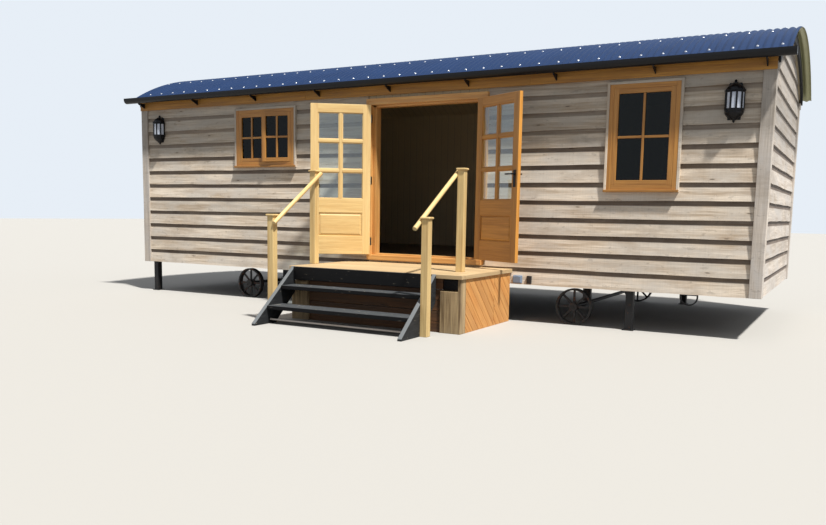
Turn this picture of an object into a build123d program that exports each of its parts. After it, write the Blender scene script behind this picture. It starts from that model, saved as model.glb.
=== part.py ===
# Long shepherds hut with a barrel roof, glazed double doors, landing and steps.
# Millimetres. X runs along the hut, Y runs from the door side to the back, Z is up.
# The origin is on the ground, under the middle of everything the hut stands on.

import os
from math import sqrt

from build123d import *

# Body of the hut
hut_length = 8790
hut_width = 3350
skirt_height = 443
post_size = 125
cladding_depth = 38
wall_thickness = 87
floor_height = 716
floor_thickness = 151

# Barrel roof, its heights taken on the outside of the sheet
crown_height = 3374
eave_height = 2913
sheet_thickness = 22
deck_thickness = 90
end_overhang = 122
eave_overhang = 110
barge_depth = 105
barge_thickness = 25
curve_clearance = 0.3

# Eaves
fascia_height = 76.2
gutter_lap = 60
gutter_reach = 175
gutter_end_reach = 175
gutter_width = 112
gutter_depth = 75
gutter_wall = 4
gutter_back_gap = 10
bracket_count = 9
bracket_inset = 90
bracket_thickness = 12
bracket_drop = 75
bracket_tip = 14

# Doorway, its middle measured from the left end of the hut and its head down from the fascia
door_centre = 4890
rebate_width = 1522
door_head_drop = 116
leaf_drop = 2
leaf_clearance = 5
leaf_thickness = 44
frame_proud = 30
jamb_width = 45
stop_overlap = 50
head_stop_overlap = 26
trim_width = 32
sill_height = 64
sill_nose = 15
sill_gap = 6
sill_upstand = 18

# Door leaves
meeting_gap = 6
stile_width = 97
top_rail = 106
lock_rail = 175
panel_height = 300
bottom_rail = 225
bar_width = 40
door_glass_thickness = 8
panel_thickness = 16
panel_margin = 12
panel_recess = 4
panel_taper = 72
left_leaf_open = 145
right_leaf_open = 152

# Hinges
hinge_radius = 7
hinge_pin_radius = 3.5
pin_clearance = 0.3
hinge_height = 100
hinge_flap = 2
hinge_stand_off = 9
hinge_reach = 32
hinge_inset = 165

# Lever handle
handle_height = 981
handle_plate_width = 40
handle_plate_above = 45
handle_plate_below = 143
handle_plate_thickness = 6
handle_neck_radius = 9
lever_stand_off = 40
lever_length = 110
lever_width = 16
lever_thickness = 14
lever_rounding = 5

# Windows: left one measured from the left end, right one from the right end
left_window_place = 1892
left_window_width = 984
left_window_sill = 1880
left_window_head_drop = 95
right_window_place = 910
right_window_width = 716
right_window_sill = 1551
right_window_head_drop = 66
window_trim = 41
window_proud = 12
window_lining = 34
casement_width = 52
casement_thickness = 44
casement_setback = 4
casement_gap = 0.5
window_glass_thickness = 6
window_sill_height = 26
window_sill_reach = 32
ajar_angle = 6.3

# Lanterns, measured from each end and down from the fascia
lantern_insets = (380, 374)
lantern_drop = 377
lantern_sides = 10
lantern_axis_reach = 14
lantern_plate_width = 130
lantern_plate_height = 372
lantern_plate_depth = 24
lantern_plate_below = 98
cage_height = 182
cage_radius = 90
lantern_band = 12
lantern_band_radius = 96
lantern_rim_radius = 103
lantern_roof_steps = ((34, 76), (40, 28))
lantern_bowl_steps = ((30, 84), (54, 26))
lantern_finial = 32
lantern_finial_radius = 13
lantern_tip_radius = 5

# Outside socket and outlet, measured from the middle of the doorway
socket_place = 1208
socket_width = 109
socket_height = 93
socket_proud = 24
socket_rounding = 10
outlet_place = 1375
outlet_width = 59
outlet_height = 92
outlet_proud = 2
outlet_rounding = 8
socket_rise = 10

# Running gear
chassis_depth = 118
rail_inset = 620
rail_width = 60
cross_width = 80
cross_rise = 20
axle_inset = 1990
axle_radius = 22
axle_end = 15
hanger_width = 90
wheel_radius = 210
wheel_width = 70
wheel_inset = 120
rim_depth = 22
hub_radius = 48
hub_width = 100
spoke_count = 8
spoke_width = 24
spoke_thickness = 16
leg_insets = (176, 1340)
leg_size = 80
leg_setback = 60
leg_foot = 120
leg_foot_thickness = 12
loop_place = 715
loop_setback = 60
loop_width = 190
loop_depth = 125
loop_bar = 16

# Landing, measured from the middle of the doorway and from the wall
landing_left = 1035
landing_right = 1190
landing_front = 1340
landing_height = 618
landing_board = 45
landing_lip = 20
landing_skin = 22
sleeper_width = 240
sleeper_depth = 125
sleeper_notch_depth = 70
sleeper_notch_height = 130
sleeper_notch_edge = 30

# Steps, with the outer faces of the stringers measured from the middle of the doorway
stringer_left = 1000
stringer_right = 890
stringer_thickness = 46
stringer_depth = 300
stringer_foot = 360
stringer_toe = 25
step_reach = 2050
step_count = 3
nosing = 14
tread_depth = 275
tread_thickness = 42
head_board_depth = 150
head_board_thickness = 30
head_board_drop = 4
foot_bar_height = 40
foot_bar_size = 18
foot_bar_setback = 255

# Handrails, with places measured out from the wall
rail_post = 80
upper_post_place = 890
lower_post_place = 1680
upper_post_top = 1717
lower_post_top = 1190
cap_height = 22
cap_overhang = 14
cap_rounding = 10
rail_radius = 24
left_rail_top = (800, 1702)
left_rail_foot = (1690, 1112)
right_rail_top = (815, 1705)
right_rail_foot = (1775, 1092)

# Places that follow from the sizes above
left = -hut_length / 2
right = hut_length / 2
front = (step_reach - hut_width - eave_overhang) / 2
middle = front + hut_width / 2
back = front + hut_width
roof_rise = crown_height - eave_height
roof_radius = ((hut_width / 2) ** 2 + roof_rise**2) / (2 * roof_rise)
arc_centre = crown_height - roof_radius
sheet_inner = roof_radius - sheet_thickness
deck_outer = sheet_inner - curve_clearance
deck_inner = deck_outer - deck_thickness
fascia_bottom = arc_centre + sqrt(deck_inner**2 - (hut_width / 2) ** 2) - fascia_height
wall_face = front + cladding_depth
wall_inner = wall_face + wall_thickness
room_back = 2 * middle - wall_inner
end_inner = left + cladding_depth + wall_thickness
doorway_middle = left + door_centre
rebate_left = doorway_middle - rebate_width / 2
rebate_right = doorway_middle + rebate_width / 2
rebate_top = fascia_bottom - door_head_drop
leaf_bottom = floor_height - leaf_drop
leaf_top = rebate_top - leaf_clearance
leaf_width = (rebate_width - 2 * leaf_clearance - meeting_gap) / 2
opening_left = rebate_left - jamb_width
opening_right = rebate_right + jamb_width
opening_top = rebate_top + jamb_width
door_face = front - frame_proud
stop_face = door_face + leaf_thickness + leaf_clearance
sill_top = leaf_bottom - sill_gap
opening_bottom = sill_top - sill_height
pin_gap = leaf_clearance / 2
chassis_top = floor_height - floor_thickness
chassis_low = chassis_top - chassis_depth
rail_places = (front + rail_inset, back - rail_inset - rail_width)
axle_places = (left + axle_inset, right - axle_inset)
deck_left = doorway_middle - landing_left
deck_right = doorway_middle + landing_right
deck_front = front - landing_front
deck_under = landing_height - landing_board
steps_left = doorway_middle - stringer_left
steps_right = doorway_middle + stringer_right
steps_front = front - step_reach


def block(x0, x1, y0, y1, z0, z1):
    """Plain box from its corner values."""
    size = (x1 - x0, y1 - y0, z1 - z0)
    centre = ((x0 + x1) / 2, (y0 + y1) / 2, (z0 + z1) / 2)
    return Pos(*centre) * Box(*size)


def arc_top(radius, y):
    """Height of an arc of the roof at a place across the hut."""
    return arc_centre + sqrt(radius**2 - (y - middle) ** 2)


def prism_along_x(points, x0, x1):
    """Section drawn in Y and Z, drawn out along the hut."""
    section = make_face(Polyline(*points, close=True))
    return extrude(Plane.YZ.offset(x0) * section, amount=x1 - x0)


def curved_strip(x0, x1, outer, inner, y0, y1):
    """Part of a barrel between two radii, cut upright at both long edges."""
    top = ThreePointArc((y0, arc_top(outer, y0)), (middle, arc_centre + outer), (y1, arc_top(outer, y1)))
    low = ThreePointArc((y1, arc_top(inner, y1)), (middle, arc_centre + inner), (y0, arc_top(inner, y0)))
    edges = [top, Line(top @ 1, low @ 0), low, Line(low @ 1, top @ 0)]
    return extrude(Plane.YZ.offset(x0) * make_face(edges), amount=x1 - x0)


def long_wall(x0, x1, z0, y_out, y_in):
    """Length of front or back wall, its top sloped to lie under the roof deck."""
    points = [(y_out, z0), (y_in, z0),
              (y_in, arc_top(deck_inner, y_in)), (y_out, arc_top(deck_inner, y_out))]
    return prism_along_x(points, x0, x1)


def on_back(solid):
    """The same piece on the other side of the hut's long centre line."""
    return mirror(solid, about=Plane.XZ.offset(-middle))


def save(node, solids):
    """Writes one piece, or several like pieces, as one file."""
    pieces = solids if isinstance(solids, (list, tuple)) else [solids]
    whole = [solid for piece in pieces for solid in piece.solids()]
    shape = whole[0] if len(whole) == 1 else Compound(children=whole)
    export_step(shape, f"parts/{node}.step")


def running_gear():
    """Steel chassis, two axles with cast wheels, and the steady legs."""
    save("chassis_rails", [block(end_inner, -end_inner, y, y + rail_width, chassis_low, chassis_top)
                           for y in rail_places])
    half = cross_width / 2
    save("chassis_cross_members",
         [block(x - half, x + half, rail_places[0] + rail_width, rail_places[1],
                chassis_low + cross_rise, chassis_top)
          for x in (end_inner + half, *axle_places, 0, -end_inner - half)])

    wheel_front = front + wheel_inset
    wheel_back = back - wheel_inset
    axle_length = wheel_back - wheel_front + 2 * axle_end
    axle = Pos(0, middle, wheel_radius) * Rot(90, 0, 0) * Cylinder(axle_radius, axle_length)
    save("axles", [Pos(x, 0, 0) * axle for x in axle_places])
    save("axle_hangers", [block(x - hanger_width / 2, x + hanger_width / 2, y, y + rail_width,
                                wheel_radius + axle_radius, chassis_low)
                          for x in axle_places for y in rail_places])
    wheel = Rot(90, 0, 0) * spoked_wheel()
    save("wheels", [Pos(x, y, wheel_radius) * wheel for x in axle_places
                    for y in (wheel_front + wheel_width / 2, wheel_back - wheel_width / 2)])

    legs = []
    y = front + leg_setback + leg_size / 2
    for x in (left + leg_insets[0], right - leg_insets[1]):
        leg = block(x - leg_size / 2, x + leg_size / 2, y - leg_size / 2, y + leg_size / 2, 0, skirt_height)
        leg += block(x - leg_foot / 2, x + leg_foot / 2, y - leg_foot / 2, y + leg_foot / 2,
                     0, leg_foot_thickness)
        legs += [leg, on_back(leg)]
    save("steady_legs", legs)
    save("hanging_loop", hanging_loop())


def spoked_wheel():
    """Cast wheel about its own axis: rim, hub and spokes, bored for the axle."""
    wheel = Cylinder(wheel_radius, wheel_width) - Cylinder(wheel_radius - rim_depth, wheel_width)
    wheel += Cylinder(hub_radius, hub_width)
    span = wheel_radius - rim_depth / 2
    for index in range(spoke_count):
        turn = Rot(0, 0, index * 360 / spoke_count)
        wheel += turn * Pos(span / 2, 0, 0) * Box(span, spoke_width, spoke_thickness)
    return wheel - Cylinder(axle_radius + curve_clearance, hub_width)


def hanging_loop():
    """Round-bottomed steel loop that hangs under the front wall, near the right end."""
    radius = loop_width / 2

    def shape(r, top):
        low = skirt_height - loop_depth + radius
        arc = ThreePointArc((-r, low), (0, low - r), (r, low))
        edges = [arc, Line((r, low), (r, top)), Line((r, top), (-r, top)), Line((-r, top), (-r, low))]
        return extrude(Plane.XZ * make_face(edges), amount=-loop_bar)

    loop = shape(radius, skirt_height) - shape(radius - loop_bar, skirt_height - loop_bar)
    return Pos(right - loop_place, front + loop_setback, 0) * loop


def hut_shell():
    """Floor, walls, corner posts and fascias."""
    save("floor", block(end_inner, -end_inner, wall_inner, room_back, chassis_top, floor_height))

    post_line = left + post_size
    left_cut, right_cut = [block(x0, x1, front, wall_inner, z0, z1) for x0, x1, z0, z1 in window_places()]
    save("front_wall_left",
         long_wall(post_line, opening_left, skirt_height, wall_face, wall_inner) - left_cut)
    save("front_wall_right",
         long_wall(opening_right, -post_line, skirt_height, wall_face, wall_inner) - right_cut)
    save("front_wall_over_door",
         long_wall(opening_left, opening_right, opening_top, wall_face, wall_inner))
    save("front_wall_under_door",
         block(opening_left, opening_right, front + landing_lip, wall_inner, skirt_height, opening_bottom))
    save("back_wall", on_back(long_wall(post_line, -post_line, skirt_height, wall_face, wall_inner)))

    y0 = front + post_size
    y1 = back - post_size
    arch = ThreePointArc((y1, arc_top(deck_inner, y1)), (middle, arc_centre + deck_inner),
                         (y0, arc_top(deck_inner, y0)))
    edges = [Line((y0, skirt_height), (y1, skirt_height)), Line((y1, skirt_height), arch @ 0),
             arch, Line(arch @ 1, (y0, skirt_height))]
    left_end = extrude(Plane.YZ.offset(left + cladding_depth) * make_face(edges), amount=wall_thickness)
    save("end_walls", [left_end, mirror(left_end, about=Plane.YZ)])

    posts = []
    for x0 in (left, right - post_size):
        post = long_wall(x0, x0 + post_size, skirt_height, front, front + post_size)
        posts += [post, on_back(post)]
    save("corner_posts", posts)

    fascia = long_wall(post_line, -post_line, fascia_bottom, front, wall_face)
    save("fascias", [fascia, on_back(fascia)])


def roof():
    """Curved deck, sheet covering and the bent boards that finish both ends."""
    save("roof_deck", curved_strip(left, right, deck_outer, deck_inner, front, back))
    sheet_end = right + end_overhang
    save("roof_sheet", curved_strip(-sheet_end, sheet_end, roof_radius, sheet_inner,
                                    front - eave_overhang, back + eave_overhang))
    board = curved_strip(right, right + barge_thickness, deck_outer, deck_outer - barge_depth, front, back)
    save("barge_boards", [board, mirror(board, about=Plane.YZ)])


def eave_gutter():
    """Half-round gutter with stop ends along the door side, on brackets fixed to the fascia."""
    x_end = right + gutter_end_reach
    radius = gutter_width / 2
    axis_y = front - gutter_reach + radius
    gutter_top = arc_top(sheet_inner, front - eave_overhang) + gutter_lap
    gutter_low = gutter_top - gutter_depth
    axis_z = gutter_low + radius
    back_top = arc_top(sheet_inner, axis_y + radius) - gutter_back_gap

    def trough(r, end):
        arc = ThreePointArc((axis_y + r, axis_z), (axis_y, axis_z - r), (axis_y - r, axis_z))
        edges = [arc, Line(arc @ 1, (axis_y - r, gutter_top)),
                 Line((axis_y - r, gutter_top), (axis_y + r, gutter_top)),
                 Line((axis_y + r, gutter_top), arc @ 0)]
        return extrude(Plane.YZ.offset(-end) * make_face(edges), amount=2 * end)

    gutter = trough(radius, x_end) - trough(radius - gutter_wall, x_end - gutter_wall)
    gutter -= block(-x_end, x_end, axis_y, axis_y + radius, back_top, back_top + gutter_depth)
    save("gutter", gutter)

    seat = gutter_low - curve_clearance
    nose = axis_y - radius / 3
    spacing = (hut_length - 2 * bracket_inset) / (bracket_count - 1)
    points = [(front, seat - bracket_drop), (front, seat), (nose, seat), (nose, seat - bracket_tip)]
    brackets = []
    for index in range(bracket_count):
        x = left + bracket_inset + index * spacing
        brackets.append(prism_along_x(points, x - bracket_thickness / 2, x + bracket_thickness / 2))
    save("gutter_brackets", brackets)


def doorway():
    """Rebated frame with its outer trim, and the sill."""
    stop_left = rebate_left + stop_overlap
    stop_right = rebate_right - stop_overlap
    stop_top = rebate_top - head_stop_overlap
    trim_left = opening_left - trim_width
    trim_right = opening_right + trim_width
    trim_top = opening_top + trim_width
    frame = block(opening_left, opening_right, door_face, wall_inner, sill_top, opening_top)
    frame += block(trim_left, trim_right, door_face, wall_face, sill_top, trim_top)
    frame -= block(rebate_left, rebate_right, door_face, stop_face, sill_top, rebate_top)
    frame -= block(stop_left, stop_right, stop_face, wall_inner, sill_top, stop_top)
    for z in hinge_heights():
        low = z - hinge_height / 2
        for x in (rebate_left - hinge_flap, rebate_right):
            frame -= block(x, x + hinge_flap, door_face, door_face + hinge_reach, low, low + hinge_height)
    save("door_frame", frame)

    sill = block(opening_left, opening_right, door_face - sill_nose, wall_inner, opening_bottom, sill_top)
    sill += block(stop_left, stop_right, stop_face, wall_inner, sill_top, sill_top + sill_upstand)
    save("door_sill", sill)


def hinge_heights():
    """Middle height of the three hinges of a leaf."""
    low = leaf_bottom + hinge_inset
    high = leaf_top - hinge_inset
    return (low, (low + high) / 2, high)


def door_leaf():
    """One leaf and its panes, shut, with its hinge axis at x 0 and y 0 and its free edge towards +x."""
    x0 = pin_gap
    x1 = x0 + leaf_width
    y0 = hinge_stand_off
    y1 = y0 + leaf_thickness
    y_mid = (y0 + y1) / 2
    inner_left = x0 + stile_width
    inner_right = x1 - stile_width
    panel_bottom = leaf_bottom + bottom_rail
    panel_top = panel_bottom + panel_height
    glass_bottom = panel_top + lock_rail
    glass_top = leaf_top - top_rail
    pane_width = (inner_right - inner_left - bar_width) / 2
    pane_height = (glass_top - glass_bottom - 2 * bar_width) / 3

    leaf = block(x0, x1, y0, y1, leaf_bottom, leaf_top)
    panes = []
    for column in range(2):
        for row in range(3):
            px = inner_left + column * (pane_width + bar_width)
            pz = glass_bottom + row * (pane_height + bar_width)
            leaf -= block(px, px + pane_width, y0, y1, pz, pz + pane_height)
            panes.append(block(px, px + pane_width, y_mid - door_glass_thickness / 2,
                               y_mid + door_glass_thickness / 2, pz, pz + pane_height))

    half_panel = panel_thickness / 2
    leaf -= block(inner_left, inner_right, y0, y_mid - half_panel, panel_bottom, panel_top)
    leaf -= block(inner_left, inner_right, y_mid + half_panel, y1, panel_bottom, panel_top)
    outline = Rectangle(inner_right - inner_left - 2 * panel_margin, panel_height - 2 * panel_margin)
    field_depth = leaf_thickness / 2 - half_panel - panel_recess
    for side in (-1, 1):
        facing = Plane(origin=((inner_left + inner_right) / 2, y_mid + side * half_panel,
                               (panel_bottom + panel_top) / 2), x_dir=(1, 0, 0), z_dir=(0, side, 0))
        leaf += extrude(facing * outline, amount=field_depth, taper=panel_taper)

    for z in hinge_heights():
        leaf -= block(x0, x0 + hinge_flap, y0, y0 + hinge_reach, z - hinge_height / 2, z + hinge_height / 2)
    return leaf, panes


def butt_hinges():
    """Leaf half and frame half of each hinge, about the axis at x 0 and y 0."""
    third = hinge_height / 3
    flap_back = hinge_stand_off + hinge_reach
    leaf_halves = []
    frame_halves = []
    for z in hinge_heights():
        low = z - hinge_height / 2
        high = z + hinge_height / 2
        eye_low = z - third / 2 + pin_clearance
        eye_high = z + third / 2 - pin_clearance
        half = Pos(0, 0, z) * Cylinder(hinge_radius, eye_high - eye_low)
        half += block(pin_gap, pin_gap + hinge_flap, 0, hinge_stand_off, eye_low, eye_high)
        half += block(pin_gap, pin_gap + hinge_flap, hinge_stand_off, flap_back, low, high)
        bore = Pos(0, 0, z) * Cylinder(hinge_pin_radius + pin_clearance, hinge_height)
        leaf_halves.append(half - bore)

        half = Pos(0, 0, z) * Cylinder(hinge_pin_radius, hinge_height)
        half += block(-pin_gap - hinge_flap, -pin_gap, hinge_stand_off, flap_back, low, high)
        for knuckle_low in (low, high - third):
            knuckle_high = knuckle_low + third
            half += Pos(0, 0, knuckle_low + third / 2) * Cylinder(hinge_radius, third)
            half += block(-pin_gap - hinge_flap, -pin_gap, 0, hinge_stand_off, knuckle_low, knuckle_high)
        frame_halves.append(half)
    return leaf_halves, frame_halves


def lever_handles():
    """Lever and plate on each face of a leaf, near its free edge."""
    x = pin_gap + leaf_width - stile_width / 2
    z = leaf_bottom + handle_height
    solids = []
    for face, out in ((hinge_stand_off, -1), (hinge_stand_off + leaf_thickness, 1)):
        def layer(x0, x1, near, far, z0, z1):
            y0, y1 = sorted((face + out * near, face + out * far))
            return block(x0, x1, y0, y1, z0, z1)

        plate = layer(x - handle_plate_width / 2, x + handle_plate_width / 2, 0, handle_plate_thickness,
                      z - handle_plate_below, z + handle_plate_above)
        reach = lever_stand_off + lever_thickness / 2
        neck = Pos(x, face + out * reach / 2, z) * Rot(90, 0, 0) * Cylinder(handle_neck_radius, reach)
        lever = layer(x - lever_length, x + handle_neck_radius, lever_stand_off,
                      lever_stand_off + lever_thickness, z - lever_width / 2, z + lever_width / 2)
        solids.append(plate + neck + fillet(lever.edges().filter_by(Axis.X), lever_rounding))
    return solids


def doors():
    """Both leaves with glass, hinges and handle, swung to where they stand open."""
    axis_y = door_face - hinge_stand_off
    leaf, panes = door_leaf()
    leaf_halves, frame_halves = butt_hinges()
    left_place = Pos(rebate_left + pin_gap, axis_y, 0)
    right_place = Pos(rebate_right - pin_gap, axis_y, 0)
    left_turn = left_place * Rot(0, 0, -left_leaf_open)
    right_turn = right_place * Rot(0, 0, right_leaf_open)

    def flipped(solids):
        return [mirror(solid, about=Plane.YZ) for solid in solids]

    save("left_door_leaf", left_turn * leaf)
    save("left_door_glass", [left_turn * pane for pane in panes])
    save("left_door_hinges", [left_turn * half for half in leaf_halves])
    save("right_door_leaf", [right_turn * whole for whole in flipped([leaf])])
    save("right_door_glass", [right_turn * pane for pane in flipped(panes)])
    save("right_door_hinges", [right_turn * half for half in flipped(leaf_halves)])
    save("right_door_handle", [right_turn * handle for handle in flipped(lever_handles())])
    save("door_hinge_pins", [left_place * half for half in frame_halves]
         + [right_place * half for half in flipped(frame_halves)])


def window_places():
    """Outside of both window frames: left, right, bottom and top."""
    x_left = left + left_window_place
    x_right = right - right_window_place
    left_head = fascia_bottom - left_window_head_drop
    right_head = fascia_bottom - right_window_head_drop
    return ((x_left, x_left + left_window_width, left_window_sill, left_head),
            (x_right - right_window_width, x_right, right_window_sill, right_head))


def window_frame(x0, x1, z0, z1):
    """Lining through the wall, outer trim on the wall face, and a sill board."""
    y_out = front - window_proud
    frame = block(x0, x1, y_out, wall_inner, z0, z1)
    frame += block(x0 - window_trim, x1 + window_trim, y_out, wall_face, z0 - window_trim, z1 + window_trim)
    frame += block(x0 - window_trim, x1 + window_trim, y_out - window_sill_reach, y_out,
                   z0 - window_trim, z0 - window_trim + window_sill_height)
    return frame - block(x0 + window_lining, x1 - window_lining, y_out, wall_inner,
                         z0 + window_lining, z1 - window_lining)


def casement(x0, x1, z0, z1, y0):
    """Sash of four members and the pane that fills it."""
    y_mid = y0 + casement_thickness / 2
    inside = (x0 + casement_width, x1 - casement_width)
    rise = (z0 + casement_width, z1 - casement_width)
    sash = block(x0, x1, y0, y0 + casement_thickness, z0, z1)
    sash -= block(*inside, y0, y0 + casement_thickness, *rise)
    pane = block(*inside, y_mid - window_glass_thickness / 2, y_mid + window_glass_thickness / 2, *rise)
    return sash, pane


def windows():
    """Left window with a pair of casements, one ajar, and right window with one."""
    y_sash = front - window_proud + casement_setback
    inset = window_lining + casement_gap
    left_place, right_place = window_places()
    save("window_frames", [window_frame(*left_place), window_frame(*right_place)])

    x0, x1, z0, z1 = left_place
    centre = (x0 + x1) / 2
    half_gap = casement_gap / 2
    shut = casement(x0 + inset, centre - half_gap, z0 + inset, z1 - inset, y_sash)
    ajar = casement(centre + half_gap, x1 - inset, z0 + inset, z1 - inset, y_sash)
    swing = Pos(x1 - inset, y_sash, 0) * Rot(0, 0, ajar_angle) * Pos(inset - x1, -y_sash, 0)
    x0, x1, z0, z1 = right_place
    single = casement(x0 + inset, x1 - inset, z0 + inset, z1 - inset, y_sash)
    save("window_casements", [shut[0], swing * ajar[0], single[0]])
    save("window_glass", [shut[1], swing * ajar[1], single[1]])


def lanterns():
    """Half-round wall lanterns of flat sides: back plate, glazed cage between two bands, roof and bowl."""
    metal = []
    glass = []
    plate_face = wall_face - lantern_plate_depth
    y = plate_face - lantern_axis_reach
    cage_low = fascia_bottom - lantern_drop
    cage_high = cage_low + cage_height
    plate_low = cage_low - lantern_plate_below
    plate_high = plate_low + lantern_plate_height
    for x in (left + lantern_insets[0], right - lantern_insets[1]):
        in_front = block(x - lantern_plate_width, x + lantern_plate_width, y - lantern_plate_width,
                         plate_face, plate_low - lantern_finial, plate_high + lantern_finial)

        def sides(radius, z):
            return Pos(x, y, z) * RegularPolygon(radius, lantern_sides)

        body = extrude(sides(lantern_rim_radius, cage_high), amount=lantern_band)
        body += extrude(sides(lantern_band_radius, cage_low), amount=-lantern_band)
        for direction, z, steps in ((1, cage_high + lantern_band, lantern_roof_steps),
                                    (-1, cage_low - lantern_band, lantern_bowl_steps)):
            radius = lantern_band_radius
            for height, next_radius in steps:
                body += loft([sides(radius, z), sides(next_radius, z + direction * height)])
                radius = next_radius
                z += direction * height
            finial = Cone(lantern_finial_radius, lantern_tip_radius, lantern_finial)
            turn = Rot(0, 0, 0) if direction > 0 else Rot(180, 0, 0)
            body += Pos(x, y, z + direction * lantern_finial / 2) * turn * finial
        body = body & in_front
        body += block(x - lantern_plate_width / 2, x + lantern_plate_width / 2, plate_face, wall_face,
                      plate_low, plate_high)
        metal.append(body)
        glass.append(extrude(sides(cage_radius, cage_low), amount=cage_height) & in_front)
    save("wall_lanterns", metal)
    save("lantern_glass", glass)


def sockets():
    """Weatherproof socket and a small outlet on the lowest board."""
    low = skirt_height + socket_rise
    fittings = []
    for place, width, height, proud, rounding in (
            (socket_place, socket_width, socket_height, socket_proud, socket_rounding),
            (outlet_place, outlet_width, outlet_height, outlet_proud, outlet_rounding)):
        x = doorway_middle + place
        fitting = block(x, x + width, front - proud, wall_face, low, low + height)
        fittings.append(fillet(fitting.edges().filter_by(Axis.Y), rounding))
    save("outside_socket", fittings)


def landing():
    """Boarded landing on sleepers, with boarded sides."""
    y_wall = front + landing_lip
    save("landing_deck", block(deck_left, deck_right, deck_front, y_wall, deck_under, landing_height))

    frame_left = deck_left + landing_lip
    frame_right = deck_right - landing_lip
    frame_front = deck_front + landing_lip
    sleeper_back = frame_front + sleeper_depth
    sleepers = []
    for x in (frame_left, frame_right - sleeper_width):
        sleeper = block(x, x + sleeper_width, frame_front, sleeper_back, 0, deck_under)
        sleeper -= block(x, x + sleeper_width - sleeper_notch_edge,
                         frame_front, frame_front + sleeper_notch_depth,
                         deck_under - sleeper_notch_height, deck_under)
        sleepers.append(sleeper)
    for x in (frame_left + landing_skin, frame_right - landing_skin - sleeper_depth):
        sleepers.append(block(x, x + sleeper_depth, front - sleeper_depth, front, 0, deck_under))
    save("landing_posts", sleepers)

    save("landing_sides",
         [block(x, x + landing_skin, sleeper_back, front, 0, deck_under)
          for x in (frame_left, frame_right - landing_skin)]
         + [block(frame_left + sleeper_width, frame_right - sleeper_width,
                  frame_front + landing_skin, frame_front + 2 * landing_skin, 0, deck_under)])


def stairs():
    """Black flight of steps: stringers, treads, head board and foot bar."""
    points = [(steps_front, 0), (steps_front + stringer_foot, 0),
              (deck_front, landing_height - stringer_depth), (deck_front, landing_height),
              (steps_front, stringer_toe)]
    save("step_stringers", [prism_along_x(points, x, x + stringer_thickness)
                            for x in (steps_left, steps_right - stringer_thickness)])

    x0 = steps_left + stringer_thickness
    x1 = steps_right - stringer_thickness
    slope = (deck_front - steps_front) / (landing_height - stringer_toe)
    boards = []
    for index in range(step_count - 1):
        z = (index + 1) * landing_height / step_count
        y = deck_front - (landing_height - z) * slope - nosing
        boards.append(block(x0, x1, y, y + tread_depth, z - tread_thickness, z))
    head_top = landing_height - head_board_drop
    boards.append(block(x0, x1, deck_front - head_board_thickness, deck_front,
                        head_top - head_board_depth, head_top))
    bar_front = steps_front + foot_bar_setback
    boards.append(block(x0, x1, bar_front, bar_front + foot_bar_size,
                        foot_bar_height, foot_bar_height + foot_bar_size))
    save("step_boards", boards)


def sloping_rail(x, foot, top, radius):
    """Round rail between two points given as distance out from the wall and height."""
    start = Vector(x, front - foot[0], foot[1])
    run = Vector(x, front - top[0], top[1]) - start
    return extrude(Plane(origin=start, z_dir=run) * Circle(radius), amount=run.length)


def handrails():
    """Square rail posts with caps, each pair carrying a round sloping rail on its inner side."""
    side_gap = rail_radius + curve_clearance
    posts = []
    rails = []
    for x_post, x_rail, foot, top in (
            (steps_left - rail_post, steps_left + side_gap, left_rail_foot, left_rail_top),
            (steps_right, steps_right - side_gap, right_rail_foot, right_rail_top)):
        rails.append(sloping_rail(x_rail, foot, top, rail_radius))
        notch = sloping_rail(x_rail, foot, top, rail_radius + curve_clearance)
        for place, z0, z1 in ((upper_post_place, landing_height, upper_post_top),
                              (lower_post_place, 0, lower_post_top)):
            y = front - place
            cap = block(x_post - cap_overhang, x_post + rail_post + cap_overhang,
                        y - cap_overhang, y + rail_post + cap_overhang, z1, z1 + cap_height)
            cap = fillet(cap.edges().filter_by(Axis.Z), cap_rounding)
            posts.append(block(x_post, x_post + rail_post, y, y + rail_post, z0, z1) + cap - notch)
    save("handrail_posts", posts)
    save("handrails", rails)


os.makedirs("parts", exist_ok=True)
running_gear()
hut_shell()
roof()
eave_gutter()
doorway()
doors()
windows()
lanterns()
sockets()
landing()
stairs()
handrails()
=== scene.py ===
# Dress of a long shepherds hut: oak cladding, curved iron roof, joinery, landing and steps.
# Everything is in metres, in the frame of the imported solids.

import math
import random

import bmesh
import bpy
from mathutils import Matrix, Vector


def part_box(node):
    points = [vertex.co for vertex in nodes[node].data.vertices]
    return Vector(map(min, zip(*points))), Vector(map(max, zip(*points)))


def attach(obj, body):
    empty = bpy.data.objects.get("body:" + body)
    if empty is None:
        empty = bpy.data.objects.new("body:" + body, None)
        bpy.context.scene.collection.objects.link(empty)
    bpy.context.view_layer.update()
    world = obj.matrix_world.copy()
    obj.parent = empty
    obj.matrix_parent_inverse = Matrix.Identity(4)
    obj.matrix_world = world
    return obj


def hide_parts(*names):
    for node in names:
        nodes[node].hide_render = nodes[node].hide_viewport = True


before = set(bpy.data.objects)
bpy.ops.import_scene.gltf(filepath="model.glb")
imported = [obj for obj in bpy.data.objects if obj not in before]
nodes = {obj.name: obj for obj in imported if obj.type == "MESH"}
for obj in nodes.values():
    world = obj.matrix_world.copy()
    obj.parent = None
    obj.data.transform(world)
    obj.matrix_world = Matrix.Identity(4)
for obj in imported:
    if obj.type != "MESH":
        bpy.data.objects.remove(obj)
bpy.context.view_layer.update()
random.seed(7)


# ---------------- Camera, floor and lamps
# The hut stands on a plain pale floor under one soft high lamp from the right and an even sky.
# The camera stands in front of its right half, about chest high, and looks towards the door.

scene = bpy.context.scene
scene.view_settings.view_transform = "Standard"

camera_place = (5.2031, -9.3722, 1.2513)
camera_yaw = 0.50894
camera_pitch = 0.12185
camera_roll = 0.01687


def at(x, y, z):
    """Move to a place."""
    return Matrix.Translation((x, y, z))


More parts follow.
